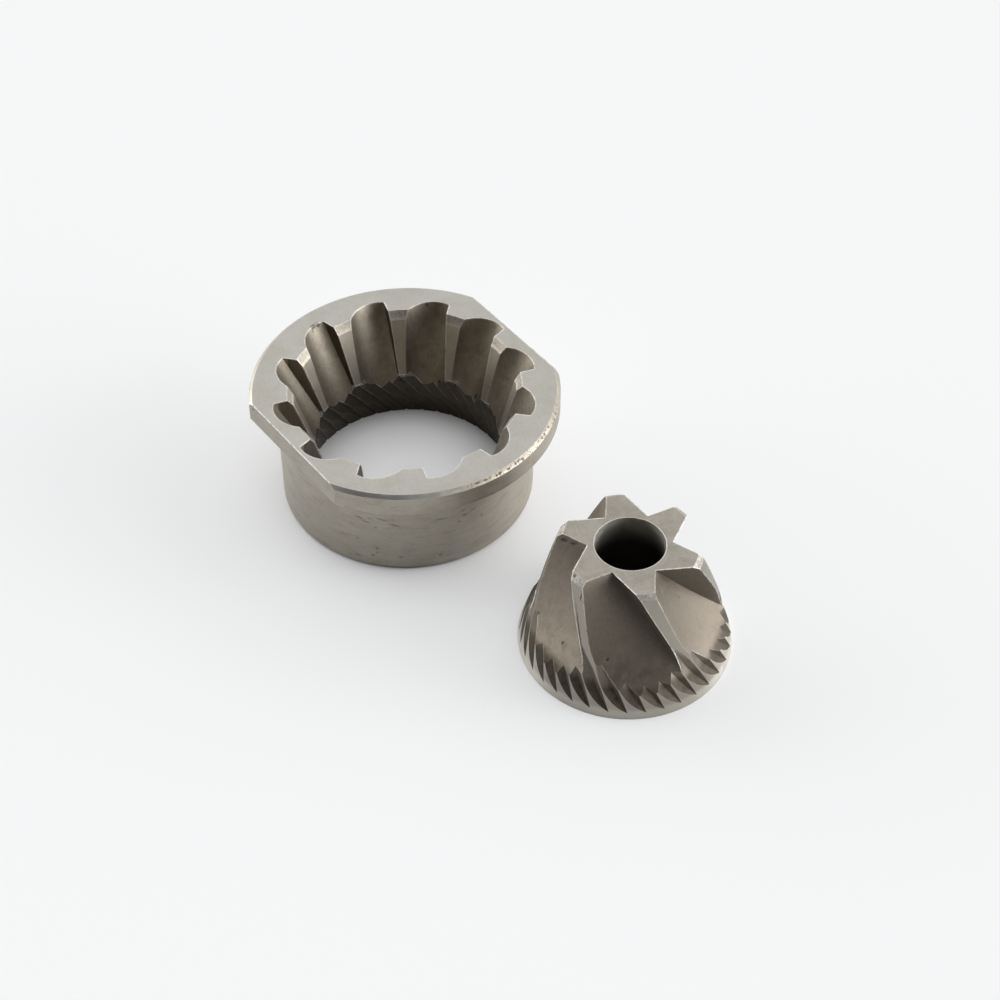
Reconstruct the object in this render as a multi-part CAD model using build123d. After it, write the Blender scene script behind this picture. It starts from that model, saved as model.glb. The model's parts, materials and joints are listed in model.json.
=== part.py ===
from build123d import *
from math import cos, radians, sin, sqrt
import os

# Matched pair of conical grinding burrs standing side by side, in mm, +Z up, floor at Z = 0.
# Angles are in degrees about each burr's own axis, counter-clockwise seen from above.

# Cone burr: a truncated cone on its wide end, with a plain shaft bore.
CONE_HEIGHT = 25.0
CONE_BASE_R = 20.0
CONE_RIM_HEIGHT = 0.4
CONE_SHOULDER_R = 13.3
CONE_SHOULDER_Z = 24.15
CONE_TOP_R = 12.3
BORE_R = 6.5

# Cone burr, coarse flutes: each one is a V that winds down from the top face and runs out on the cone.
# A station gives height, root radius, root angle, direction of the steep wall, direction of the floor.
FLUTE_COUNT = 6
FLUTE_STATIONS = [
    (26.0, 7.73, -63.2, 6.6, -91.9),
    (15.0, 12.02, -12.4, 11.6, -107.8),
    (4.0, 21.7, 5.7, 40.9, -110.6),
]
FLUTE_REACH = 20.0

# Cone burr, fine grooves: ground by an upright disc that touches the cone at the groove's pointed lower tip.
# The disc's flat side leaves the groove's wall, and its edge leaves the floor.
CONE_GROOVE_COUNT = 36
CONE_GROOVE_ANGLE = -0.8
CONE_GROOVE_TIP_Z = 1.35
CONE_GROOVE_DISC_R = 30.8
CONE_GROOVE_DISC_Z = 23.2
CONE_GROOVE_WALL_DIR = 52.8
CONE_GROOVE_FLOOR_DIR = -78.0
CONE_GROOVE_REACH = 8.0

# Ring burr: a flanged ring with its flange up, hourglass inside, two parallel flats on the flange.
# The flange's top edge is chamfered, and the chamfer is worn to a slight crown.
GRIND_GAP = 0.15
RING_HEIGHT = 25.0
FLANGE_R = 30.0
FLANGE_THICKNESS = 4.5
FLANGE_EDGE = 0.7
FLANGE_CROWN = 0.03
FLATS_ACROSS = 52.5
FLATS_ANGLE = 37.0
BODY_R = 24.9
BODY_EDGE_R = 1.2
HOLE_R = CONE_BASE_R + GRIND_GAP
THROAT_R = 17.65
THROAT_Z = 10.3
FUNNEL_R = 21.45
FUNNEL_Z = 23.3
MOUTH_R = 22.6

# Ring burr, feed scoops: bored by a cylinder that leans inward, each with one flat side wall.
# Axis points and the wall are (outward, sideways) in each scoop's own frame, at the two heights.
SCOOP_COUNT = 12
SCOOP_ANGLE = 20.4
SCOOP_R = 6.14
SCOOP_TOP_Z = RING_HEIGHT
SCOOP_TOP_AXIS = (18.92, -1.48)
SCOOP_TOP_WALL = -3.98
SCOOP_LOW_Z = 10.0
SCOOP_LOW_AXIS = (12.43, -0.61)
SCOOP_LOW_WALL = -4.26
SCOOP_LENGTH = 60.0

# Ring burr, fine grooves: straight V cuts in the flare below the throat, open at the bottom face.
RING_GROOVE_COUNT = 40
RING_GROOVE_ANGLE = 2.8
RING_GROOVE_LOW_DEPTH = 0.3
RING_GROOVE_THROAT_DEPTH = 1.2
RING_GROOVE_TWIST = 20.5
RING_GROOVE_WALL_LEAN = 45.0
RING_GROOVE_FLOOR_RISE = 20.0
RING_GROOVE_START_Z = -1.0
RING_GROOVE_END_Z = 11.6
RING_GROOVE_REACH = 5.0

# The two burrs stand on one floor, their axes this far apart along X and along Y.
PAIR_STEP = 41.57
RING_OFFSET = (PAIR_STEP - (FLANGE_R - CONE_BASE_R)) / 2
CONE_OFFSET = PAIR_STEP - RING_OFFSET


def polar(radius, angle, z):
    """Point at a radius and angle about the axis."""
    return Vector(radius * cos(radians(angle)), radius * sin(radians(angle)), z)


def around(cutter, count, first):
    """Copies of a cutter at equal steps about Z, the first one at the given angle."""
    return [Rot(0, 0, first + 360 / count * k) * cutter for k in range(count)]


def cone_radius(z):
    """Radius of the cone's surface at a height."""
    slope = (CONE_BASE_R - CONE_SHOULDER_R) / (CONE_SHOULDER_Z - CONE_RIM_HEIGHT)
    return CONE_BASE_R - slope * (z - CONE_RIM_HEIGHT)


def cone_groove():
    """Cutter of one fine groove, with its tip at angle zero."""
    wall = polar(1, CONE_GROOVE_WALL_DIR, 0)
    tip = Vector(cone_radius(CONE_GROOVE_TIP_Z), 0, CONE_GROOVE_TIP_Z)
    rise = CONE_GROOVE_DISC_Z - CONE_GROOVE_TIP_Z
    centre = tip + wall * sqrt(CONE_GROOVE_DISC_R**2 - rise**2) + Vector(0, 0, rise)
    side = Plane(centre, x_dir=wall, z_dir=polar(1, CONE_GROOVE_WALL_DIR - 90, 0))
    disc = side * Circle(CONE_GROOVE_DISC_R)
    return Solid.extrude(disc.face(), polar(CONE_GROOVE_REACH, CONE_GROOVE_FLOOR_DIR, 0))


def flute_section(z, root_r, root_angle, wall_dir, floor_dir):
    """Horizontal V section of a coarse flute."""
    root = polar(root_r, root_angle, z)
    corners = [root, root + polar(FLUTE_REACH, wall_dir, 0), root + polar(FLUTE_REACH, floor_dir, 0)]
    return make_face(Polyline(corners, close=True))


def ring_scoop():
    """Cutter of one feed scoop: a leaning cylinder, flat on the side of its wall."""
    top = Vector(*SCOOP_TOP_AXIS, SCOOP_TOP_Z)
    lean = top - Vector(*SCOOP_LOW_AXIS, SCOOP_LOW_Z)
    bore = Plane(top, z_dir=lean) * Cylinder(SCOOP_R, SCOOP_LENGTH)
    upward = Vector(0, SCOOP_TOP_WALL - SCOOP_LOW_WALL, SCOOP_TOP_Z - SCOOP_LOW_Z)
    outward = Vector(1, 0, 0)
    wall = Plane((0, SCOOP_TOP_WALL, SCOOP_TOP_Z), x_dir=outward, z_dir=upward.cross(outward))
    return split(bore, wall, keep=Keep.TOP)


def ring_groove():
    """Cutter of one fine groove in the ring, its root leaning from the bottom edge to the throat."""
    low = Vector(HOLE_R + RING_GROOVE_LOW_DEPTH, 0, 0)
    high = polar(THROAT_R + RING_GROOVE_THROAT_DEPTH, RING_GROOVE_TWIST, THROAT_Z)
    slope = (high - low) / THROAT_Z
    middle = RING_GROOVE_TWIST / 2
    start = low + slope * RING_GROOVE_START_Z
    section = [
        start,
        start + polar(RING_GROOVE_REACH, middle + 180 + RING_GROOVE_WALL_LEAN, 0),
        start + polar(RING_GROOVE_REACH, middle + 90 + RING_GROOVE_FLOOR_RISE, 0),
    ]
    face = make_face(Polyline(section, close=True)).face()
    return Solid.extrude(face, slope * (RING_GROOVE_END_Z - RING_GROOVE_START_Z))


def make_cone():
    """Inner burr: revolved cone with coarse flutes and fine grooves."""
    sides = Polyline(
        (BORE_R, 0, 0),
        (CONE_BASE_R, 0, 0),
        (CONE_BASE_R, 0, CONE_RIM_HEIGHT),
        (CONE_SHOULDER_R, 0, CONE_SHOULDER_Z),
        (CONE_TOP_R, 0, CONE_HEIGHT),
        (BORE_R, 0, CONE_HEIGHT),
        close=True,
    )
    blank = revolve(make_face(sides), Axis.Z)
    flute = loft([flute_section(*station) for station in FLUTE_STATIONS])
    cutters = around(flute, FLUTE_COUNT, 0)
    cutters += around(cone_groove(), CONE_GROOVE_COUNT, CONE_GROOVE_ANGLE)
    return blank - cutters


def make_ring():
    """Outer burr: revolved flanged ring with flats, feed scoops and fine grooves."""
    flange_z = RING_HEIGHT - FLANGE_THICKNESS
    edge_low = Vector(FLANGE_R, 0, RING_HEIGHT - FLANGE_EDGE)
    edge_high = Vector(FLANGE_R - FLANGE_EDGE, 0, RING_HEIGHT)
    edge_crown = (edge_low + edge_high) / 2 + Vector(FLANGE_CROWN, 0, FLANGE_CROWN)
    sides = Polyline(
        edge_high,
        (MOUTH_R, 0, RING_HEIGHT),
        (FUNNEL_R, 0, FUNNEL_Z),
        (THROAT_R, 0, THROAT_Z),
        (HOLE_R, 0, 0),
        (BODY_R, 0, 0),
        (BODY_R, 0, flange_z),
        (FLANGE_R, 0, flange_z),
        edge_low,
    )
    edge = ThreePointArc(edge_low, edge_crown, edge_high)
    blank = revolve(make_face([sides, edge]), Axis.Z)
    foot_edge = blank.edges().filter_by_position(Axis.Z, 0, 0).sort_by(SortBy.RADIUS)[-1]
    blank = fillet(foot_edge, BODY_EDGE_R)
    flats = Rot(0, 0, FLATS_ANGLE) * Box(FLATS_ACROSS, 3 * FLANGE_R, 3 * RING_HEIGHT)
    cutters = around(ring_scoop(), SCOOP_COUNT, SCOOP_ANGLE)
    cutters += around(ring_groove(), RING_GROOVE_COUNT, RING_GROOVE_ANGLE)
    return (blank & flats) - cutters


os.makedirs("parts", exist_ok=True)
ring_burr = Pos(-RING_OFFSET, RING_OFFSET, 0) * make_ring()
cone_burr = Pos(CONE_OFFSET, -CONE_OFFSET, 0) * make_cone()
export_step(ring_burr, "parts/ring_burr.step")
export_step(cone_burr, "parts/cone_burr.step")
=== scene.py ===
"""Dresses a matched pair of conical grinding burrs in worn steel and sets them on a pale studio floor."""

import json
import logging
from dataclasses import dataclass, field
from enum import Enum
from math import cos, degrees, radians, sin
from typing import Any, Union

import bpy
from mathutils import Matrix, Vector

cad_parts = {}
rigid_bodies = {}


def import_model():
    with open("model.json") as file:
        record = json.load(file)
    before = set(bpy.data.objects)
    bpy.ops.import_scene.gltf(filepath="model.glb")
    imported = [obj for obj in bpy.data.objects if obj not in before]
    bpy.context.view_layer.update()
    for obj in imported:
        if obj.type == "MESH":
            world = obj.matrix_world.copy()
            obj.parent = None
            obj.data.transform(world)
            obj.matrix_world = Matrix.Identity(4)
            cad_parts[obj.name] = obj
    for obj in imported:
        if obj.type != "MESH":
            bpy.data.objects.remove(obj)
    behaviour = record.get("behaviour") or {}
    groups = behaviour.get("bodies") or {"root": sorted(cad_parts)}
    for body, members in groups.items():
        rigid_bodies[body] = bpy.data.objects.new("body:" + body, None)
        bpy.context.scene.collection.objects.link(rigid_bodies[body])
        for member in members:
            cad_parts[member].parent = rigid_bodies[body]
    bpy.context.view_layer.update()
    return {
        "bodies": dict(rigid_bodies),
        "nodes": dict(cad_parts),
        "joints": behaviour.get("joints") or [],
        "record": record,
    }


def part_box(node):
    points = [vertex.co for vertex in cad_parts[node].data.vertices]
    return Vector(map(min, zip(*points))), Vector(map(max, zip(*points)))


LOG = logging.getLogger("burr")
MM = 0.001
SCRATCH_TURNS = (22.0, 104.0)
WEAR_SAMPLES = 6
EASE_SAMPLES = 4
FLOOR_SAMPLES = 8

Socket = bpy.types.NodeSocket
Value = Union[Socket, float, int, tuple, Vector]
Colour = tuple[float, float, float]


class Op(Enum):
    """Scalar operations that the finishes use."""

    ADD = "ADD"
    SUBTRACT = "SUBTRACT"
    MULTIPLY = "MULTIPLY"
    DIVIDE = "DIVIDE"
    POWER = "POWER"
    MAXIMUM = "MAXIMUM"
    ANGLE = "ARCTAN2"
    ROOT = "SQRT"


class VectorOp(Enum):
    """Vector operations that the finishes use."""

    ADD = "ADD"
    SUBTRACT = "SUBTRACT"
    DOT = "DOT_PRODUCT"


class Kind(Enum):
    """Socket kinds of a shared effect."""

    VALUE = "NodeSocketFloat"
    VECTOR = "NodeSocketVector"


@dataclass
class Wiring:
    """Short ways to add and join nodes in one shader tree.

    Attributes:
        tree: the node tree that is built.
    """

    tree: bpy.types.NodeTree

    def node(self, kind: str, **settings: Any) -> bpy.types.Node:
        """Adds a node.

        Args:
            kind: the node's type.
            settings: node properties to set.

        Returns:
            The new node.
        """
        made = self.tree.nodes.new(kind)
        for name, value in settings.items():
            setattr(made, name, value)
        return made

    def put(self, socket: Socket, value: Value) -> None:
        """Feeds an input.

        Args:
            socket: the input.
            value: another socket, or a constant.
        """
        if isinstance(value, bpy.types.NodeSocket):
            self.tree.links.new(value, socket)
        else:
            socket.default_value = value

    def math(self, op: Op, a: Value, b: Value = 0.0) -> Socket:
        """Scalar arithmetic.

        Args:
            op: the operation.
            a: first operand.
            b: second operand.

        Returns:
            The result.
        """
        made = self.node("ShaderNodeMath", operation=op.value)
        self.put(made.inputs[0], a)
        self.put(made.inputs[1], b)
        return made.outputs[0]

    def plus(self, *values: Value) -> Socket:
        """Sum of several values.

        Args:
            values: two or more values.

        Returns:
            The sum.
        """
        result = values[0]
        for value in values[1:]:
            result = self.math(Op.ADD, result, value)
        return result

    def times(self, *values: Value) -> Socket:
        """Product of several values.

        Args:
            values: two or more values.

        Returns:
            The product.
        """
        result = values[0]
        for value in values[1:]:
            result = self.math(Op.MULTIPLY, result, value)
        return result

    def less(self, a: Value, b: Value) -> Socket:
        """Difference of two values."""
        return self.math(Op.SUBTRACT, a, b)

    def most(self, *values: Value) -> Socket:
        """Largest of several values.

        Args:
            values: two or more values.

        Returns:
            The largest.
        """
        result = values[0]
        for value in values[1:]:
            result = self.math(Op.MAXIMUM, result, value)
        return result

    def band(self, value: Value, low: float, high: float) -> Socket:
        """Smooth step.

        Args:
            value: what is tested.
            low: where the result is 0.
            high: where the result is 1; it may be below `low`.

        Returns:
            A value from 0 to 1.
        """
        made = self.node("ShaderNodeMapRange", interpolation_type="SMOOTHSTEP")
        falling = high < low
        self.put(made.inputs["Value"], value)
        made.inputs["From Min"].default_value = min(low, high)
        made.inputs["From Max"].default_value = max(low, high)
        made.inputs["To Min"].default_value = 1.0 if falling else 0.0
        made.inputs["To Max"].default_value = 0.0 if falling else 1.0
        return made.outputs["Result"]

    def blend(self, low: float, high: float, share: Socket) -> Socket:
        """Value between two constants.

        Args:
            low: value at a share of 0.
            high: value at a share of 1.
            share: how far it is.

        Returns:
            The value.
        """
        made = self.node("ShaderNodeMapRange")
        self.put(made.inputs["Value"], share)
        made.inputs["To Min"].default_value = low
        made.inputs["To Max"].default_value = high
        return made.outputs["Result"]

    def tint(self, share: Value, under: Value, over: Value) -> Socket:
        """Colour mix.

        Args:
            share: how much of the upper colour shows.
            under: lower colour.
            over: upper colour.

        Returns:
            The mixed colour.
        """
        made = self.node("ShaderNodeMix", data_type="RGBA")
        self.put(made.inputs["Factor"], share)
        for name, value in (("A", under), ("B", over)):
            socket = next(s for s in made.inputs if s.name == name and s.type == "RGBA")
            self.put(socket, value if isinstance(value, bpy.types.NodeSocket) else (*value, 1.0))
        return next(s for s in made.outputs if s.type == "RGBA")

    def vector(self, x: Value, y: Value, z: Value) -> Socket:
        """Vector from three parts.

        Args:
            x: first part.
            y: second part.
            z: third part.

        Returns:
            The vector.
        """
        made = self.node("ShaderNodeCombineXYZ")
        for socket, value in zip(made.inputs, (x, y, z)):
            self.put(socket, value)
        return made.outputs[0]

    def parts(self, vector: Socket) -> tuple[Socket, Socket, Socket]:
        """The three parts of a vector.

        Args:
            vector: the vector.

        Returns:
            Its x, y and z.
        """
        made = self.node("ShaderNodeSeparateXYZ")
        self.put(made.inputs[0], vector)
        return made.outputs[0], made.outputs[1], made.outputs[2]

    def join(self, op: VectorOp, a: Socket, b: Value) -> Socket:
        """Vector arithmetic.

        Args:
            op: the operation.
            a: first vector.
            b: second vector.

        Returns:
            The result, a plain value for a dot product.
        """
        made = self.node("ShaderNodeVectorMath", operation=op.value)
        self.put(made.inputs[0], a)
        self.put(made.inputs[1], b)
        return made.outputs["Value" if op is VectorOp.DOT else "Vector"]

    def scaled(self, vector: Socket, factor: Value) -> Socket:
        """A vector times a value.

        Args:
            vector: the vector.
            factor: the value.

        Returns:
            The longer or shorter vector.
        """
        made = self.node("ShaderNodeVectorMath", operation="SCALE")
        self.put(made.inputs[0], vector)
        self.put(made.inputs["Scale"], factor)
        return made.outputs["Vector"]

    def noise(self, vector: Socket, scale: Value, detail: float = 3.0, rough: float = 0.55) -> Socket:
        """Soft noise.

        Args:
            vector: where it is read.
            scale: how fine it is.
            detail: number of finer layers.
            rough: weight of the finer layers.

        Returns:
            A value from 0 to 1.
        """
        made = self.node("ShaderNodeTexNoise")
        self.put(made.inputs["Vector"], vector)
        self.put(made.inputs["Scale"], scale)
        made.inputs["Detail"].default_value = detail
        made.inputs["Roughness"].default_value = rough
        return made.outputs["Fac"]

    def use(self, group: bpy.types.NodeTree, **inputs: Value) -> bpy.types.NodeOutputs:
        """Places a shared effect.

        Args:
            group: the effect's node tree.
            inputs: values for its inputs, with _ for a space.

        Returns:
            The effect's outputs.
        """
        made = self.node("ShaderNodeGroup")
        made.node_tree = group
        for name, value in inputs.items():
            self.put(made.inputs[name.replace("_", " ")], value)
        return made.outputs


@dataclass
class Effects:
    """Shader node groups that the steel finishes share."""

    place: bpy.types.NodeTree = field(init=False)
    lathe: bpy.types.NodeTree = field(init=False)
    pits: bpy.types.NodeTree = field(init=False)
    nick: bpy.types.NodeTree = field(init=False)
    stain: bpy.types.NodeTree = field(init=False)
    scratch: bpy.types.NodeTree = field(init=False)
    streaks: bpy.types.NodeTree = field(init=False)
    grain: bpy.types.NodeTree = field(init=False)
    wear_and_shading: bpy.types.NodeTree = field(init=False)

    def __post_init__(self) -> None:
        """Builds every group once."""
        self.place = self._place()
        self.lathe = self._lathe()
        self.pits = self._pits()
        self.nick = self._nick()
        self.stain = self._stain()
        self.scratch = self._scratch()
        self.streaks = self._streaks()
        self.grain = self._grain()
        self.wear_and_shading = self._wear()

    @staticmethod
    def _begin(
        name: str, inputs: dict[str, Kind], outputs: dict[str, Kind]
    ) -> tuple[Wiring, bpy.types.NodeOutputs, bpy.types.NodeInputs]:
        """Opens a new group.

        Args:
            name: the group's name.
            inputs: its inputs and their kinds.
            outputs: its outputs and their kinds.

        Returns:
            The wiring, what the group is given and what it puts out.
        """
        tree = bpy.data.node_groups.new(name, "ShaderNodeTree")
        for label, kind in inputs.items():
            tree.interface.new_socket(label, in_out="INPUT", socket_type=kind.value)
        for label, kind in outputs.items():
            tree.interface.new_socket(label, in_out="OUTPUT", socket_type=kind.value)
        wiring = Wiring(tree)
        return wiring, wiring.node("NodeGroupInput").outputs, wiring.node("NodeGroupOutput").inputs

    def _place(self) -> bpy.types.NodeTree:
        """Where a point lies about a burr's own axis, in mm and degrees, and which way its surface faces.

        Returns:
            The group.
        """
        w, given, out = self._begin(
            "burr place",
            {"Axis": Kind.VECTOR},
            {
                "Point": Kind.VECTOR,
                "Radius": Kind.VALUE,
                "Height": Kind.VALUE,
                "Angle": Kind.VALUE,
                "Around": Kind.VECTOR,
                "Up": Kind.VALUE,
                "Inward": Kind.VALUE,
                "Sideways": Kind.VALUE,
            },
        )
        where = w.node("ShaderNodeTexCoord").outputs["Object"]
        point = w.scaled(w.join(VectorOp.SUBTRACT, where, given["Axis"]), 1 / MM)
        x, y, z = w.parts(point)
        radius = w.math(Op.ROOT, w.plus(w.times(x, x), w.times(y, y)))
        facing = w.node("ShaderNodeNewGeometry").outputs["Normal"]
        w.put(out["Point"], point)
        w.put(out["Radius"], radius)
        w.put(out["Height"], z)
        w.put(out["Angle"], w.times(w.math(Op.ANGLE, y, x), degrees(1.0)))
        along, across = w.math(Op.DIVIDE, x, radius), w.math(Op.DIVIDE, y, radius)
        around = w.vector(along, across, 0.0)
        w.put(out["Around"], around)
        w.put(out["Up"], w.parts(facing)[2])
        w.put(out["Inward"], w.times(w.join(VectorOp.DOT, facing, around), -1.0))
        w.put(out["Sideways"], w.join(VectorOp.DOT, facing, w.vector(w.times(across, -1.0), along, 0.0)))
        return w.tree

    def _lathe(self) -> bpy.types.NodeTree:
        """Turning marks: lines that follow the burr's round, across a given distance.

        Returns:
            The group.
        """
        w, given, out = self._begin(
            "turning marks",
            {"Around": Kind.VECTOR, "Across": Kind.VALUE, "Pitch": Kind.VALUE},
            {"Marks": Kind.VALUE},
        )
        x, y, _ = w.parts(given["Around"])
        step = w.times(given["Across"], given["Pitch"])
        fine = w.noise(w.vector(x, y, step), scale=1.9, detail=2.0, rough=0.6)
        wide = w.noise(w.vector(x, y, w.times(step, 0.21)), scale=2.6, detail=3.0, rough=0.6)
        w.put(out["Marks"], w.times(w.plus(fine, wide), 0.5))
        return w.tree

    def _pits(self) -> bpy.types.NodeTree:
        """Small pits scattered over a surface; Amount is the share of cells that hold one.

        Returns:
            The group.
        """
        w, given, out = self._begin(
            "pits",
            {"Point": Kind.VECTOR, "Scale": Kind.VALUE, "Amount": Kind.VALUE},
            {"Pits": Kind.VALUE},
        )
        jitter = w.node("ShaderNodeTexNoise")
        w.put(jitter.inputs["Vector"], given["Point"])
        jitter.inputs["Scale"].default_value = 2.3
        bent = w.join(VectorOp.ADD, w.scaled(jitter.outputs["Color"], 0.35), given["Point"])
        cells = w.node("ShaderNodeTexVoronoi")
        w.put(cells.inputs["Vector"], bent)
        w.put(cells.inputs["Scale"], given["Scale"])
        pick = w.node("ShaderNodeSeparateColor")
        w.put(pick.inputs[0], cells.outputs["Color"])
        chosen = w.less(given["Amount"], pick.outputs[0])
        reach = w.times(w.plus(pick.outputs[1], 0.35), 0.3)
        inside = w.less(reach, cells.outputs["Distance"])
        w.put(out["Pits"], w.times(w.band(inside, 0.0, 0.12), w.band(chosen, 0.0, 0.02)))
        return w.tree

    def _nick(self) -> bpy.types.NodeTree:
        """One ragged nick at a given spot on a round surface; sizes in mm, Spot is angle, height and slope.

        Returns:
            The group.
        """
        w, given, out = self._begin(
            "nick",
            {
                "Point": Kind.VECTOR,
                "Angle": Kind.VALUE,
                "Height": Kind.VALUE,
                "Radius": Kind.VALUE,
                "Spot": Kind.VECTOR,
                "Size": Kind.VECTOR,
            },
            {"Nick": Kind.VALUE},
        )
        angle, height, slope = w.parts(given["Spot"])
        length, width, _ = w.parts(given["Size"])
        along = w.times(w.less(given["Angle"], angle), given["Radius"], radians(1.0))
        across = w.less(w.less(given["Height"], height), w.times(along, slope))
        far = w.math(Op.DIVIDE, along, length)
        wide = w.math(Op.DIVIDE, across, width)
        reach = w.math(Op.ROOT, w.plus(w.times(far, far), w.times(wide, wide)))
        rough = w.noise(given["Point"], scale=3.4, detail=4.0, rough=0.75)
        ragged = w.times(w.less(rough, 0.5), 3.2)
        w.put(out["Nick"], w.band(w.plus(reach, ragged), 1.2, 0.5))
        return w.tree

    def _stain(self) -> bpy.types.NodeTree:
        """Cloudy discolouring with soft edges; Cover is about the share that it covers.

        Returns:
            The group.
        """
        w, given, out = self._begin(
            "stain",
            {"Point": Kind.VECTOR, "Scale": Kind.VALUE, "Cover": Kind.VALUE},
            {"Stain": Kind.VALUE},
        )
        cloud = w.noise(given["Point"], given["Scale"], detail=5.0, rough=0.62)
        w.put(out["Stain"], w.band(w.plus(w.less(cloud, 1.0), given["Cover"]), -0.14, 0.14))
        return w.tree

    def _scratch(self) -> bpy.types.NodeTree:
        """Fine straight scratches over a level face, in two directions.

        Returns:
            The group.
        """
        w, given, out = self._begin("fine scratches", {"Point": Kind.VECTOR}, {"Lines": Kind.VALUE})
        lines = []
        for turn in SCRATCH_TURNS:
            run, rise = cos(radians(turn)), sin(radians(turn))
            along = w.join(VectorOp.DOT, given["Point"], (run, rise, 0.0))
            across = w.join(VectorOp.DOT, given["Point"], (-rise, run, 0.0))
            spread = w.vector(w.times(along, 0.1), w.times(across, 3.5), turn)
            hair = w.noise(spread, scale=1.0, detail=2.0, rough=0.6)
            lines.append(w.band(hair, 0.6, 0.68))
        w.put(out["Lines"], w.most(*lines))
        return w.tree

    def _streaks(self) -> bpy.types.NodeTree:
        """Grinding streaks that run down a wall: Across is how fine they are, Along how short.

        Returns:
            The group.
        """
        w, given, out = self._begin(
            "grinding streaks",
            {"Point": Kind.VECTOR, "Across": Kind.VALUE, "Along": Kind.VALUE},
            {"Streaks": Kind.VALUE},
        )
        x, y, z = w.parts(given["Point"])
        across, along = given["Across"], given["Along"]
        spread = w.vector(w.times(x, across), w.times(y, across), w.times(z, along))
        w.put(out["Streaks"], w.noise(spread, scale=1.0, detail=3.0, rough=0.6))
        return w.tree

    def _grain(self) -> bpy.types.NodeTree:
        """The steel's fine grain, and the harsher specks that break up its worn edges.

        Returns:
            The group.
        """
        w, given, out = self._begin(
            "steel grain", {"Point": Kind.VECTOR}, {"Grain": Kind.VALUE, "Speck": Kind.VALUE}
        )
        w.put(out["Grain"], w.noise(given["Point"], scale=2.2, detail=4.0, rough=0.7))
        w.put(out["Speck"], w.noise(given["Point"], scale=2.4, detail=5.0, rough=0.8))
        return w.tree

    def _wear(self) -> bpy.types.NodeTree:
        """Convex edges painted bright, as rubbed bare steel and partly as a painted highlight; creases
        darkened by occlusion, a painted shade; and a normal that is eased over the edges.

        Returns:
            The group.
        """
        w, given, out = self._begin(
            "edge wear",
            {
                "Point": Kind.VECTOR,
                "Edge Width": Kind.VALUE,
                "Crevice Width": Kind.VALUE,
                "Ease": Kind.VALUE,
            },
            {"Edge": Kind.VALUE, "Crevice": Kind.VALUE, "Normal": Kind.VECTOR},
        )
        edge = w.node("ShaderNodeAmbientOcclusion", samples=WEAR_SAMPLES, inside=True, only_local=True)
        w.put(edge.inputs["Distance"], given["Edge Width"])
        crevice = w.node("ShaderNodeAmbientOcclusion", samples=WEAR_SAMPLES, only_local=True)
        w.put(crevice.inputs["Distance"], given["Crevice Width"])
        eased = w.node("ShaderNodeBevel", samples=EASE_SAMPLES)
        w.put(eased.inputs["Radius"], given["Ease"])
        worn = w.band(w.less(1.0, edge.outputs["AO"]), 0.1, 0.26)
        ragged = w.band(w.noise(given["Point"], scale=0.8, detail=4.0, rough=0.65), 0.3, 0.55)
        w.put(out["Edge"], w.times(worn, ragged))
        w.put(out["Crevice"], w.band(w.less(1.0, crevice.outputs["AO"]), 0.25, 0.85))
        w.put(out["Normal"], eased.outputs["Normal"])
        return w.tree


@dataclass(frozen=True)
class SteelFinish:
    """Colours of one burr's steel in linear values, and its least and most roughness before rubbed faces
    are made smoother. Its darkest colour serves for dirt and for painted shade, its polished colour for
    rubbed steel and for painted highlights.
    """

    bare: Colour
    dull: Colour
    oxide: Colour
    polish_and_highlight: Colour
    stain: Colour
    bright: Colour
    grime_and_shade: Colour
    sheen: tuple[float, float]


@dataclass(frozen=True)
class Nick:
    """One mark on a round surface: angle in degrees, height, half length and half width in mm, slope."""

    angle: float
    height: float
    length: float
    width: float
    slope: float = 0.0


RING_FINISH = SteelFinish(
    bare=(0.465, 0.451, 0.417),
    dull=(0.425, 0.394, 0.342),
    oxide=(0.325, 0.288, 0.229),
    polish_and_highlight=(0.53, 0.488, 0.418),
    stain=(0.24, 0.195, 0.145),
    bright=(0.85, 0.83, 0.79),
    grime_and_shade=(0.045, 0.035, 0.026),
    sheen=(0.53, 0.60),
)
CONE_FINISH = SteelFinish(
    bare=(0.37, 0.345, 0.30),
    dull=(0.205, 0.178, 0.146),
    oxide=(0.17, 0.146, 0.116),
    polish_and_highlight=(0.77, 0.74, 0.675),
    stain=(0.34, 0.314, 0.27),
    bright=(0.85, 0.83, 0.78),
    grime_and_shade=(0.04, 0.031, 0.023),
    sheen=(0.51, 0.63),
)


@dataclass(frozen=True)
class Coat:
    """One coat of colour: the mask of where it lies, the share that shows there, and its colour."""

    mask: Socket
    share: float
    colour: Colour


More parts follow.
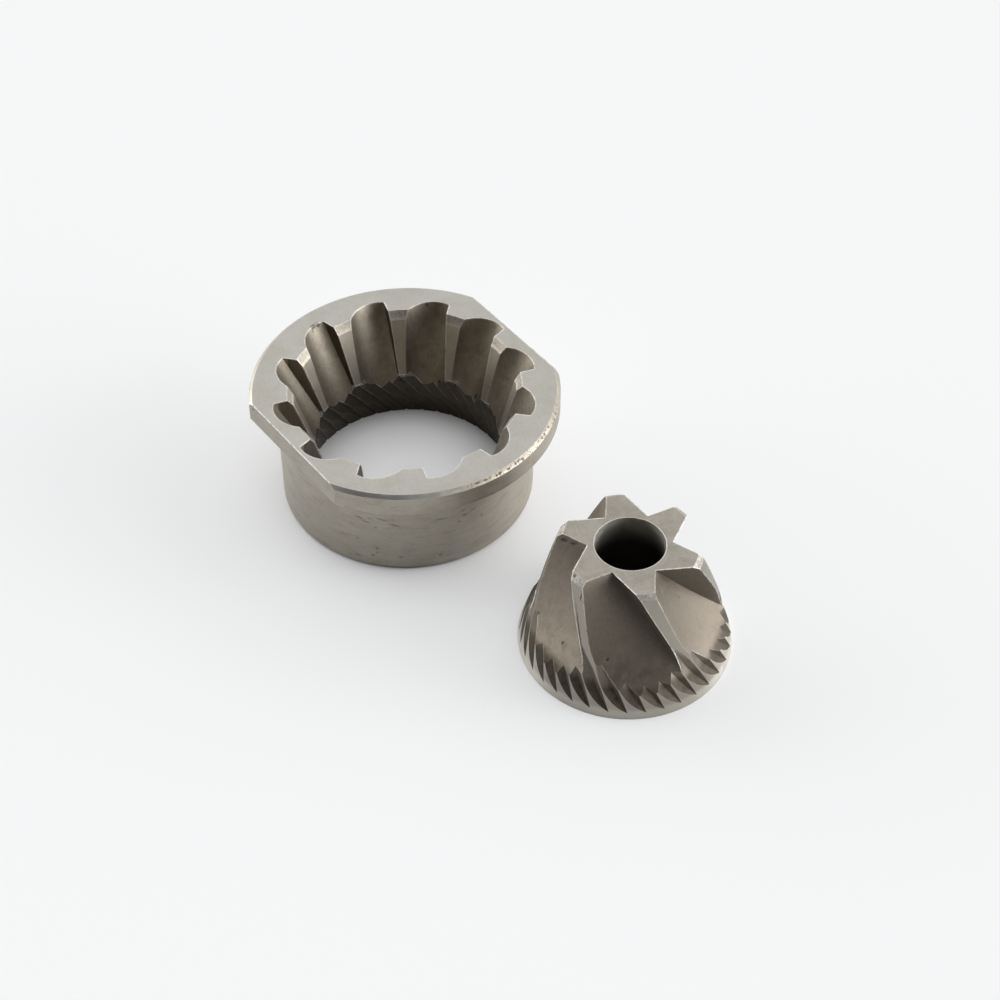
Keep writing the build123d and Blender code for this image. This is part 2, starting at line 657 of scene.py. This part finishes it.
@dataclass
class Burr:
    """One burr: its node, its finish and the effects that dress it.

    Attributes:
        node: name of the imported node.
        finish: its steel.
        effects: the shared effects.
        height: its height in mm.
        relief_depth: depth of the fine relief in mm.
        relief_strength: how strongly the relief shows.
    """

    node: str
    finish: SteelFinish
    effects: Effects
    height: float = 25.0
    relief_depth: float = 0.03
    relief_strength: float = 0.6

    def axis(self) -> Vector:
        """Foot of the burr's axis in the row frame, in metres."""
        low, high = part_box(self.node)
        return Vector(((low[0] + high[0]) / 2, (low[1] + high[1]) / 2, low[2]))

    def start(self, name: str) -> tuple[Wiring, bpy.types.Node, bpy.types.Material, bpy.types.NodeOutputs]:
        """Opens a metal material with the burr's own coordinates.

        Args:
            name: the material's name.

        Returns:
            The wiring, the shader, the material and the coordinates.
        """
        material = bpy.data.materials.new(name)
        material.use_nodes = True
        material.node_tree.nodes.clear()
        w = Wiring(material.node_tree)
        shader = w.node("ShaderNodeBsdfPrincipled")
        shader.inputs["Metallic"].default_value = 1.0
        output = w.node("ShaderNodeOutputMaterial")
        w.put(output.inputs["Surface"], shader.outputs["BSDF"])
        return w, shader, material, w.use(self.effects.place, Axis=tuple(self.axis()))

    def marked(self, w: Wiring, at: bpy.types.NodeOutputs, nicks: tuple[Nick, ...]) -> Socket:
        """Mask of a list of nicks.

        Args:
            w: the material's wiring.
            at: the burr's coordinates.
            nicks: the marks.

        Returns:
            A value from 0 to 1.
        """
        masks = [
            w.use(
                self.effects.nick,
                Point=at["Point"],
                Angle=at["Angle"],
                Height=at["Height"],
                Radius=at["Radius"],
                Spot=(nick.angle, nick.height, nick.slope),
                Size=(nick.length, nick.width, 0.0),
            )["Nick"]
            for nick in nicks
        ]
        return w.most(*masks)

    def top_face(self, w: Wiring, at: bpy.types.NodeOutputs) -> Socket:
        """Mask of the ground top face.

        Args:
            w: the material's wiring.
            at: the burr's coordinates.

        Returns:
            A value from 0 to 1.
        """
        level = w.band(at["Up"], 0.85, 0.95)
        return w.times(level, w.band(at["Height"], self.height - 0.3, self.height - 0.1))

    def coated(self, w: Wiring, coats: tuple[Coat, ...]) -> Socket:
        """Lays coats of colour over the bare steel, the first one lowest.

        Args:
            w: the material's wiring.
            coats: the coats.

        Returns:
            The colour.
        """
        colour = self.finish.bare
        for coat in coats:
            colour = w.tint(w.times(coat.mask, coat.share), colour, coat.colour)
        return colour

    def relief(self, w: Wiring, shader: bpy.types.Node, height: Socket, normal: Socket) -> None:
        """Raises the surface's fine relief.

        Args:
            w: the material's wiring.
            shader: its shader.
            height: relief from 0 to 1.
            normal: the normal under it.
        """
        bump = w.node("ShaderNodeBump")
        bump.inputs["Strength"].default_value = self.relief_strength
        bump.inputs["Distance"].default_value = self.relief_depth * MM
        w.put(bump.inputs["Height"], height)
        w.put(bump.inputs["Normal"], normal)
        w.put(shader.inputs["Normal"], bump.outputs["Normal"])

    def dress(self, frame: dict[str, Any]) -> bpy.types.Object:
        """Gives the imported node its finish.

        Args:
            frame: the loaded frame.

        Returns:
            The dressed object.
        """
        piece = frame["nodes"][self.node]
        piece.data.materials.clear()
        piece.data.materials.append(self.steel())
        return piece

    def steel(self) -> bpy.types.Material:
        """The burr's steel."""
        raise NotImplementedError


@dataclass
class RingBurr(Burr):
    """Outer burr: turned outside, ground on top, dark inside. Sizes in mm.

    Attributes:
        body_radius: radius of the body below the flange.
        throat_radius: radius of the lands at the throat.
        throat_height: height of the throat.
        funnel_slope: growth of the lands' radius with height.
        mouth_low: where the chamfered mouth begins.
        witness_height: height of the faint line round the scoops.
        inner_mark_radius: how far out the mouth chips and the painted notch shade reach.
        edge_width: width of the bright edges, rubbed bare steel and partly a painted highlight.
        crevice_width: reach of the crease mask, which the ring's colour does not use.
        ease: radius to which the edges are eased.
        edge_pits: chips in the flange's edge.
        body_nicks: scrapes on the body.
        mouth_chips_and_notch_shade: chips in the mouth, and painted shade in the notches at the scoops'
            feet among the teeth.
    """

    body_radius: float = 24.9
    throat_radius: float = 17.65
    throat_height: float = 10.3
    funnel_slope: float = 0.2923
    mouth_low: float = 23.3
    witness_height: float = 17.3
    inner_mark_radius: float = 26.0
    edge_width: float = 0.32
    crevice_width: float = 2.5
    ease: float = 0.1
    edge_pits: tuple[Nick, ...] = (
        Nick(-14, 24.6, 0.3, 0.2),
        Nick(-17, 24.5, 0.25, 0.2),
        Nick(-22, 24.75, 0.25, 0.15),
        Nick(-26, 24.7, 0.3, 0.2),
        Nick(-28, 24.6, 0.25, 0.2),
        Nick(-41, 24.55, 0.45, 0.3),
        Nick(-43, 24.7, 0.3, 0.2),
        Nick(-44.5, 24.7, 0.25, 0.25),
        Nick(-48, 24.6, 0.4, 0.2),
        Nick(-52, 24.65, 0.45, 0.25),
        Nick(-53.5, 24.65, 0.3, 0.25),
        Nick(-58, 24.7, 0.6, 0.15),
        Nick(-61.5, 24.75, 0.7, 0.12),
    )
    body_nicks: tuple[Nick, ...] = (
        Nick(-109.4, 13.1, 1.0, 0.22, -0.25),
        Nick(-106.6, 12.4, 0.9, 0.2, -0.25),
        Nick(-104.5, 13.4, 0.6, 0.15, -0.2),
        Nick(-99.0, 13.5, 1.3, 0.18, -0.28),
        Nick(-94.0, 12.4, 1.2, 0.18, -0.28),
        Nick(-73.0, 12.9, 1.3, 0.15),
        Nick(-62.9, 13.6, 0.5, 0.25, 0.2),
        Nick(-62.0, 12.2, 0.6, 0.25),
        Nick(-65.0, 11.0, 0.4, 0.2),
        Nick(-58.0, 12.8, 0.6, 0.2, 0.3),
        Nick(-53.6, 10.2, 0.4, 0.25),
        Nick(-110.8, 2.6, 0.8, 0.2, -0.3),
        Nick(-103.9, 3.4, 0.5, 0.25),
        Nick(-91.5, 3.6, 0.5, 0.2),
        Nick(-74.0, 3.2, 0.4, 0.2),
    )
    mouth_chips_and_notch_shade: tuple[Nick, ...] = (
        Nick(136.6, 24.9, 0.75, 0.5),
        Nick(134.4, 24.7, 0.5, 0.4),
        # These marks are painted shade in the notches at the scoops' feet.
        Nick(95.8, 9.6, 0.4, 0.3),
        Nick(93.1, 9.0, 0.5, 0.25),
        Nick(71.5, 9.8, 0.35, 0.4),
        Nick(60.5, 10.3, 0.3, 0.35),
        Nick(45.3, 9.8, 0.3, 0.6),
        Nick(23.0, 9.6, 0.25, 0.6),
    )

    def steel(self) -> bpy.types.Material:
        """Turned and ground steel with an olive oxide in the scoops, darkened teeth, and painted shade and
        highlights on some faces and edges.

        Returns:
            The material.
        """
        f, fx = self.finish, self.effects
        w, shader, material, at = self.start("ring_steel_worn_and_painted_light")
        point, radius, height, around = at["Point"], at["Radius"], at["Height"], at["Around"]
        x, y, z = w.parts(point)
        facing_y = w.parts(around)[1]
        wear_and_shading = w.use(
            fx.wear_and_shading,
            Point=point,
            Edge_Width=self.edge_width * MM,
            Crevice_Width=self.crevice_width * MM,
            Ease=self.ease * MM,
        )

        # Outside: body, flange and the flange's edge, worn on the right front, with a painted highlight on
        # the rest of its front.
        top = self.top_face(w, at)
        outward = w.times(w.band(at["Inward"], 0.3, 0.1), w.less(1.0, top))
        outer = w.times(outward, w.band(radius, self.body_radius - 0.6, self.body_radius - 0.3))
        under = w.times(outer, w.band(height, self.height - 2.0, self.height - 3.0))
        shy = w.times(outer, w.band(facing_y, 0.0, 0.35))
        edge = w.times(outer, w.band(height, self.height - 1.0, self.height - 0.75))
        worn_side = w.times(edge, w.band(at["Angle"], -78, -62), w.band(at["Angle"], -2, -10))
        # Only the chamfer's front half, toward the camera, is picked, and it is painted bright: a painted
        # highlight.
        chamfer = w.times(edge, w.band(at["Up"], 0.3, 0.5), w.band(facing_y, -0.3, -0.6))
        front_chamfer_highlight = w.times(chamfer, w.less(1.0, worn_side))

        # Inside: teeth, scoops, the lands between them and the chamfered mouth.
        inner = w.less(1.0, w.most(outer, top))
        foot = w.times(w.band(at["Inward"], 0.7, 0.8), w.band(at["Up"], 0.1, 0.25))
        low = w.band(height, self.throat_height + 0.6, self.throat_height + 0.1)
        teeth = w.times(inner, low, w.less(1.0, foot))
        rise = w.times(w.less(height, self.throat_height), self.funnel_slope)
        depth = w.less(radius, w.plus(rise, self.throat_radius))
        scoop = w.times(inner, w.band(depth, 0.1, 0.5))
        land = w.times(inner, w.band(depth, 0.25, 0.1), w.less(1.0, teeth))
        # The scoops' flat walls are painted dark: painted shade.
        wall = w.times(scoop, w.band(at["Sideways"], 0.55, 0.8))
        above = w.band(height, self.mouth_low - 0.1, self.mouth_low + 0.1)
        mouth = w.times(inner, above, w.band(at["Up"], 0.44, 0.52))
        line = self.witness_height
        from_below = w.band(height, line - 0.4, line - 0.1)
        from_above = w.band(height, line + 0.4, line + 0.1)
        witness = w.times(scoop, from_below, from_above)

        # Texture over both.
        turned = w.use(fx.lathe, Around=around, Across=height, Pitch=2.4)["Marks"]
        faced = w.use(fx.lathe, Around=around, Across=radius, Pitch=1.6)["Marks"]
        smear = w.vector(w.times(x, 0.22), w.times(y, 0.22), w.times(z, 0.6))
        rubs = w.noise(smear, scale=1.0, detail=5.0, rough=0.7)
        cloud = w.use(fx.stain, Point=point, Scale=0.16, Cover=0.5)["Stain"]
        patch = w.use(fx.stain, Point=point, Scale=0.42, Cover=0.45)["Stain"]
        ground = w.use(fx.streaks, Point=point, Across=2.4, Along=0.1)["Streaks"]
        texture = w.use(fx.grain, Point=point)
        grain, speck = texture["Grain"], texture["Speck"]
        hairs = w.times(top, w.use(fx.scratch, Point=point)["Lines"])

        # Single marks.
        pits = w.times(w.use(fx.pits, Point=point, Scale=0.8, Amount=0.05)["Pits"], w.less(1.0, top))
        edge_chips = w.times(edge, self.marked(w, at, self.edge_pits))
        chips = w.most(edge_chips, w.times(worn_side, w.band(speck, 0.52, 0.6), 0.75))
        nicks = w.times(outer, self.marked(w, at, self.body_nicks))
        # Chips in the mouth, and painted shade in the notches at the scoops' feet.
        near = w.times(w.less(1.0, outer), w.band(radius, self.inner_mark_radius + 0.3, self.inner_mark_radius - 0.2))
        chips_and_notch_shade = w.times(near, self.marked(w, at, self.mouth_chips_and_notch_shade))
        marks = w.most(w.times(pits, 0.5), chips, w.times(nicks, 0.55), w.times(chips_and_notch_shade, 0.9))

        # The bright edges, rubbed bare steel and partly a painted highlight, are held back in the teeth, at
        # the back, and under the flange where shade falls.
        dim = w.most(w.times(teeth, 0.5), w.times(shy, 0.8), w.times(under, 0.75))
        coats = (
            Coat(outer, 1.0, f.dull),
            Coat(w.times(inner, w.blend(0.88, 1.0, patch)), 1.0, f.oxide),
            Coat(land, 0.7, f.polish_and_highlight),
            Coat(w.times(outer, w.band(turned, 0.42, 0.6)), 0.35, f.polish_and_highlight),
            Coat(w.times(outer, w.band(rubs, 0.5, 0.66)), 0.3, f.stain),
            Coat(cloud, 0.18, f.oxide),
            Coat(w.band(grain, 0.45, 0.75), 0.12, f.grime_and_shade),
            Coat(w.times(scoop, patch), 0.07, f.grime_and_shade),
            Coat(w.times(scoop, w.band(ground, 0.4, 0.65)), 0.16, f.grime_and_shade),
            Coat(witness, 0.12, f.polish_and_highlight),
            Coat(wall, 0.55, f.grime_and_shade),
            Coat(w.times(mouth, w.band(speck, 0.62, 0.42)), 0.2, f.bright),
            Coat(front_chamfer_highlight, 0.6, f.bright),
            Coat(worn_side, 0.6, f.oxide),
            Coat(teeth, 0.77, f.grime_and_shade),
            Coat(w.times(wear_and_shading["Edge"], w.less(0.85, dim)), 1.0, f.bright),
            Coat(hairs, 0.07, f.bright),
            Coat(marks, 0.85, f.grime_and_shade),
        )
        w.put(shader.inputs["Base Color"], self.coated(w, coats))
        rubbed = w.less(w.times(w.less(1.0, top), 0.08), w.times(mouth, 0.2))
        w.put(shader.inputs["Roughness"], w.less(w.blend(*f.sheen, patch), rubbed))

        lines = w.plus(w.times(turned, outer), w.times(faced, top, 0.4), w.times(grain, 0.25))
        self.relief(w, shader, w.less(lines, w.times(marks, 1.5)), wear_and_shading["Normal"])
        return material


@dataclass
class ConeBurr(Burr):
    """Inner burr: ground flutes, fins and fine grooves round a dark bore. Sizes in mm.

    Attributes:
        base_radius: radius at the rim.
        rim_height: height of the rim's upright part.
        side_slope: loss of the lands' radius with height.
        groove_top: where the fine grooves end.
        rim_top: where the polished rim ends.
        bore_radius: radius of the bore.
        bore_lit: depth to which the bore is lit.
        shoulder_low: where the shoulders at the top face begin.
        calm_top: where the worn edges begin to fade.
        calm_low: where they have faded.
        edge_width: width of the bright edges, rubbed bare steel and partly a painted highlight.
        crevice_width: reach of the painted shade in the creases.
        ease: radius to which the edges are eased.
        flute_marks_and_edge_shadow: dented spots in the flutes and their edges, and a painted shadow line
            along a fin's edge.
    """

    base_radius: float = 20.0
    rim_height: float = 0.4
    side_slope: float = 0.2821
    groove_top: float = 6.5
    rim_top: float = 1.4
    bore_radius: float = 6.5
    bore_lit: float = 7.0
    shoulder_low: float = 24.15
    calm_top: float = 10.0
    calm_low: float = 6.0
    edge_width: float = 0.25
    crevice_width: float = 4.0
    ease: float = 0.08
    flute_marks_and_edge_shadow: tuple[Nick, ...] = (
        Nick(171.5, 24.1, 0.35, 0.4),
        Nick(176.0, 24.3, 0.3, 0.35),
        Nick(-105.1, 11.1, 0.35, 0.45),
        Nick(-140.4, 9.4, 0.25, 0.3),
        Nick(-167.6, 10.3, 0.2, 0.35),
        Nick(-36.4, 17.9, 0.25, 0.4),
        Nick(-130.8, 22.4, 0.15, 0.9),
        # A painted shadow line along the left edge of a fin.
        Nick(-126.5, 16.1, 1.9, 0.4, -2.5),
    )

    def steel(self) -> bpy.types.Material:
        """Ground steel, browner than the ring, with streaks down the flutes.

        Returns:
            The material.
        """
        f, fx = self.finish, self.effects
        w, shader, material, at = self.start("cone_steel_worn_and_painted_light")
        point, radius, height, around = at["Point"], at["Radius"], at["Height"], at["Around"]
        facing_x, facing_y, _ = w.parts(around)
        wear_and_shading = w.use(
            fx.wear_and_shading,
            Point=point,
            Edge_Width=self.edge_width * MM,
            Crevice_Width=self.crevice_width * MM,
            Ease=self.ease * MM,
        )

        # Faces: top, bore, and the sides with their lands, rim, grooves and shoulders.
        top = self.top_face(w, at)
        bore = w.band(radius, self.bore_radius + 0.15, self.bore_radius + 0.02)
        deep = w.band(height, self.height, self.height - self.bore_lit)
        lip = w.band(radius, self.bore_radius + 0.9, self.bore_radius + 0.4)
        side = w.less(1.0, w.most(top, bore))
        blank = w.less(self.base_radius, w.times(w.less(height, self.rim_height), self.side_slope))
        uncut = w.band(w.less(blank, radius), 0.3, 0.12)
        land = w.times(side, uncut, w.band(at["Inward"], -0.9, -0.95))
        low_land = w.times(land, w.band(height, self.groove_top + 1.5, self.groove_top - 0.5))
        # Low lands facing left and right are painted lighter: a painted highlight.
        side_highlight = w.band(w.times(facing_x, facing_x), 0.5, 0.85)
        # The rim's polished colour is held back on its front, toward the camera: painted shade.
        front_shade = w.band(facing_y, -0.5, -0.9)
        rim = w.times(land, w.band(height, self.rim_top + 1.0, self.rim_top), w.blend(1.0, 0.3, front_shade))
        low = w.band(height, self.groove_top + 1.0, self.groove_top - 1.0)
        groove = w.times(side, w.less(1.0, land), low)
        high = w.band(height, self.shoulder_low - 0.1, self.shoulder_low + 0.1)
        shoulder = w.times(side, high, w.band(at["Up"], 0.5, 0.7))

        # Texture and single marks.
        streaks = w.use(fx.streaks, Point=point, Across=2.6, Along=0.12)["Streaks"]
        faced = w.use(fx.lathe, Around=around, Across=radius, Pitch=1.6)["Marks"]
        cloud = w.use(fx.stain, Point=point, Scale=0.2, Cover=0.5)["Stain"]
        patch = w.use(fx.stain, Point=point, Scale=0.6, Cover=0.45)["Stain"]
        texture = w.use(fx.grain, Point=point)
        grain, speck = texture["Grain"], texture["Speck"]
        hairs = w.times(top, w.use(fx.scratch, Point=point)["Lines"])
        pits = w.times(w.use(fx.pits, Point=point, Scale=0.7, Amount=0.015)["Pits"], w.less(1.0, top))
        marks = w.most(pits, w.times(side, self.marked(w, at, self.flute_marks_and_edge_shadow)))

        # The bright edges, rubbed bare steel and partly a painted highlight, are held back round the bore
        # and low on the sides.
        calm = w.most(w.times(lip, 0.7), w.times(w.band(height, self.calm_top, self.calm_low), 0.55))
        coats = (
            Coat(side, 1.0, f.dull),
            Coat(w.times(side, w.band(streaks, 0.4, 0.65)), 0.55, f.oxide),
            Coat(cloud, 0.26, f.oxide),
            Coat(w.band(grain, 0.45, 0.75), 0.12, f.grime_and_shade),
            Coat(w.times(side, patch), 0.15, f.oxide),
            Coat(groove, 0.36, f.grime_and_shade),
            Coat(land, 0.9, f.stain),
            Coat(w.times(low_land, side_highlight), 0.6, f.polish_and_highlight),
            Coat(rim, 0.85, f.polish_and_highlight),
            # Creases are darkened by occlusion: painted shade.
            Coat(w.times(wear_and_shading["Crevice"], side), 0.38, f.grime_and_shade),
            Coat(w.times(shoulder, w.blend(0.5, 0.22, w.band(speck, 0.4, 0.6))), 1.0, f.bright),
            Coat(w.times(wear_and_shading["Edge"], w.less(0.95, calm)), 1.0, f.bright),
            Coat(hairs, 0.08, f.bright),
            Coat(marks, 0.75, f.grime_and_shade),
            # The bore is painted bright at its lip and darker with depth: painted light and shade.
            Coat(bore, 1.0, f.polish_and_highlight),
            Coat(w.times(bore, w.blend(0.1, 0.93, deep)), 1.0, f.grime_and_shade),
        )
        w.put(shader.inputs["Base Color"], self.coated(w, coats))
        matt = w.plus(w.times(groove, 0.3), w.times(shoulder, 0.2))
        rubbed = w.less(w.plus(w.times(side, 0.06), w.times(land, 0.12)), matt)
        w.put(shader.inputs["Roughness"], w.less(w.blend(*f.sheen, patch), rubbed))

        lines = w.plus(w.times(streaks, side), w.times(faced, top, 0.4), w.times(grain, 0.25))
        self.relief(w, shader, w.less(lines, w.times(marks, 1.5)), wear_and_shading["Normal"])
        return material


@dataclass(frozen=True)
class Panel:
    """One soft panel of the light tent: where it stands, in degrees, its strength and how tight it is."""

    azimuth: float
    elevation: float
    strength: float
    tightness: float = 10.0

    def towards(self) -> tuple[float, float, float]:
        """Direction in which the panel stands."""
        a, e = radians(self.azimuth), radians(self.elevation)
        return cos(e) * cos(a), cos(e) * sin(a), sin(e)


@dataclass
class Studio:
    """Pale floor, light tent and camera. Sizes in metres.

    Attributes:
        floor_size: side of the square floor.
        floor_colour: its matt colour.
        glow_colour: colour of its glow.
        floor_glow: share of the glow that the camera sees.
        mirrored_glow: share of the glow in the burrs' reflections.
        left_glow: the same, on the floor's left side.
        left_from: where the left side begins.
        left_full: where the left side is at its full glow.
        glow_reach: how far from the burrs the glow is shaded.
        shade_full: openness of the floor at which its glow is gone.
        shade_none: openness of the floor at which its glow is whole.
        backdrop: brightness behind the floor's edge.
        right_low: strong panel just above the floor, on the right.
        left_low: the same, on the left.
        left_back_low: the same, behind on the left.
        right: softer panel higher up, on the right.
        right_back: the same, behind on the right.
        back: the same, behind.
        left_back: the same, behind on the left.
        above: panel overhead.
        front: faint panel on the camera's side.
        target: the point that the camera looks at.
        camera: where the camera stands.
        lens: its focal length in mm.
        sensor: its sensor's width in mm.
        clip_start: the nearest distance that it shows.
    """

    floor_size: float = 6.0
    floor_colour: Colour = (0.87, 0.875, 0.88)
    glow_colour: Colour = (0.945, 0.952, 0.958)
    floor_glow: float = 0.6
    mirrored_glow: float = 0.2
    left_glow: float = 0.5
    left_from: float = -0.03
    left_full: float = -0.055
    glow_reach: float = 0.024
    shade_full: float = 0.15
    shade_none: float = 0.85
    backdrop: float = 0.9
    right_low: Panel = Panel(-6, 4, 17.0, 12.0)
    left_low: Panel = Panel(168, 3, 11.0, 20.0)
    left_back_low: Panel = Panel(144, 5, 4.0)
    right: Panel = Panel(10, 35, 1.2)
    right_back: Panel = Panel(45, 33, 1.8)
    back: Panel = Panel(90, 33, 1.1)
    left_back: Panel = Panel(135, 33, 2.0)
    above: Panel = Panel(60, 60, 0.7)
    front: Panel = Panel(270, 45, 0.12)
    target: tuple[float, float, float] = (0.00251, 0.00971, 0.0)
    camera: tuple[float, float, float] = (0.00251, -0.2906, 0.3059)
    lens: float = 77.76
    sensor: float = 36.0
    clip_start: float = 0.01

    def panels(self) -> tuple[Panel, ...]:
        """All panels of the tent."""
        low = (self.right_low, self.left_low, self.left_back_low)
        return low + (self.right, self.right_back, self.back, self.left_back, self.above, self.front)

    def floor(self) -> bpy.types.Object:
        """Matt pale floor that keeps the shadows, with a glow that the camera and the burrs' reflections
        see, darkened near the burrs as a painted shadow and stronger on the left in reflections as a
        painted reflection.

        Returns:
            The floor.
        """
        half = self.floor_size / 2
        mesh = bpy.data.meshes.new("studio_floor")
        square = [(-half, -half, 0), (half, -half, 0), (half, half, 0), (-half, half, 0)]
        mesh.from_pydata(square, [], [(0, 1, 2, 3)])
        material = bpy.data.materials.new("studio_floor_matt")
        material.use_nodes = True
        material.node_tree.nodes.clear()
        w = Wiring(material.node_tree)
        matt = w.node("ShaderNodeBsdfDiffuse")
        matt.inputs["Color"].default_value = (*self.floor_colour, 1.0)
        glow = w.node("ShaderNodeEmission")
        glow.inputs["Color"].default_value = (*self.glow_colour, 1.0)
        path = w.node("ShaderNodeLightPath").outputs
        # The glow fades where the floor is hemmed in by the burrs: a painted shadow.
        openness = w.node("ShaderNodeAmbientOcclusion", samples=FLOOR_SAMPLES)
        openness.inputs["Distance"].default_value = self.glow_reach
        shade = w.band(openness.outputs["AO"], self.shade_full, self.shade_none)
        seen = w.times(w.most(path["Is Camera Ray"], path["Is Transmission Ray"]), self.floor_glow)
        # The burrs' reflections also see the glow, stronger on the floor's left: a painted reflection.
        across = w.parts(w.node("ShaderNodeTexCoord").outputs["Object"])[0]
        left = w.band(across, self.left_from, self.left_full)
        mirrored = w.times(path["Is Glossy Ray"], w.blend(self.mirrored_glow, self.left_glow, left))
        mix = w.node("ShaderNodeMixShader")
        w.put(mix.inputs[0], w.times(w.most(seen, mirrored), shade))
        w.put(mix.inputs[1], matt.outputs["BSDF"])
        w.put(mix.inputs[2], glow.outputs["Emission"])
        w.put(w.node("ShaderNodeOutputMaterial").inputs["Surface"], mix.outputs["Shader"])
        mesh.materials.append(material)
        piece = bpy.data.objects.new("studio_floor", mesh)
        bpy.context.scene.collection.objects.link(piece)
        return piece

    def light(self) -> bpy.types.World:
        """Light tent: soft panels at the sides, behind and above, and a faint one on the camera's side.

        Returns:
            The world.
        """
        world = bpy.data.worlds.new("studio_tent")
        bpy.context.scene.world = world
        world.use_nodes = True
        world.node_tree.nodes.clear()
        w = Wiring(world.node_tree)
        looking = w.node("ShaderNodeTexCoord").outputs["Generated"]
        levels = []
        for panel in self.panels():
            facing = w.most(w.join(VectorOp.DOT, looking, panel.towards()), 0.0)
            levels.append(w.times(w.math(Op.POWER, facing, panel.tightness), panel.strength))
        tent = w.node("ShaderNodeBackground")
        w.put(tent.inputs["Strength"], w.plus(*levels))
        backdrop = w.node("ShaderNodeBackground")
        backdrop.inputs["Strength"].default_value = self.backdrop
        path = w.node("ShaderNodeLightPath").outputs
        mix = w.node("ShaderNodeMixShader")
        w.put(mix.inputs[0], w.most(path["Is Camera Ray"], path["Is Transmission Ray"]))
        w.put(mix.inputs[1], tent.outputs["Background"])
        w.put(mix.inputs[2], backdrop.outputs["Background"])
        w.put(w.node("ShaderNodeOutputWorld").inputs["Surface"], mix.outputs["Shader"])
        return world

    def view(self) -> bpy.types.Object:
        """Camera at the photograph's viewing angle.

        Returns:
            The camera.
        """
        data = bpy.data.cameras.new("studio_camera")
        data.lens = self.lens
        data.sensor_width = self.sensor
        data.clip_start = self.clip_start
        camera = bpy.data.objects.new("studio_camera", data)
        camera.location = self.camera
        look = Vector(self.target) - Vector(self.camera)
        camera.rotation_euler = look.to_track_quat("-Z", "Y").to_euler()
        bpy.context.scene.collection.objects.link(camera)
        bpy.context.scene.camera = camera
        return camera

    def set_up(self) -> None:
        """Builds the floor, the light and the camera."""
        for made in (self.floor(), self.light(), self.view()):
            LOG.info("studio: %s", made.name)
        bpy.context.scene.view_settings.view_transform = "Standard"


def clear_stage() -> None:
    """Removes whatever the empty file starts with."""
    for piece in list(bpy.data.objects):
        bpy.data.objects.remove(piece)


def main() -> None:
    """Loads the frame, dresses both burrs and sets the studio."""
    logging.basicConfig(level=logging.INFO, format="%(name)s: %(message)s")
    clear_stage()
    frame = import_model()
    effects = Effects()
    ring = RingBurr("ring_burr", RING_FINISH, effects)
    cone = ConeBurr("cone_burr", CONE_FINISH, effects)
    for burr in (ring, cone):
        piece = burr.dress(frame)
        LOG.info("%s dressed, axis at %s mm", piece.name, [round(v / MM, 2) for v in burr.axis()])
    Studio().set_up()


if __name__ == "__main__":
    main()
